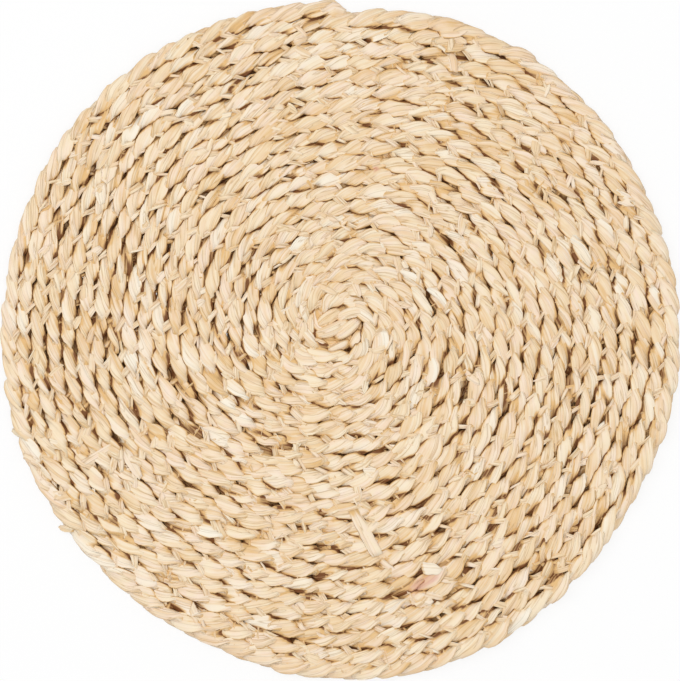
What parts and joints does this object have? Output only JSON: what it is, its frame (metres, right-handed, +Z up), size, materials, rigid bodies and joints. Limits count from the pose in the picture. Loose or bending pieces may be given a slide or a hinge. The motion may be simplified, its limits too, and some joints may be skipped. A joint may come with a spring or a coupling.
{
  "type": "reed placemat",
  "caption": "Round placemat of dried reed husk: one three-strand plait set on its edge and coiled into a flat spiral, with a single tapered end at the rim.",
  "frame": {"origin": "middle of the mat's outline, on the underside that rests on the table", "axes": "+Z up through the thickness; +Y towards the far side, where the plait's outer end lies; +X to the right"},
  "size_m": [0.3796, 0.3782, 0.01],
  "materials": {
    "husk": "dry plaited husk, cream to straw coloured, matt with a faint sheen along the fibres"
  },
  "bodies": {
    "root": {"coiled_plait": "husk"}
  },
  "joints": []
}
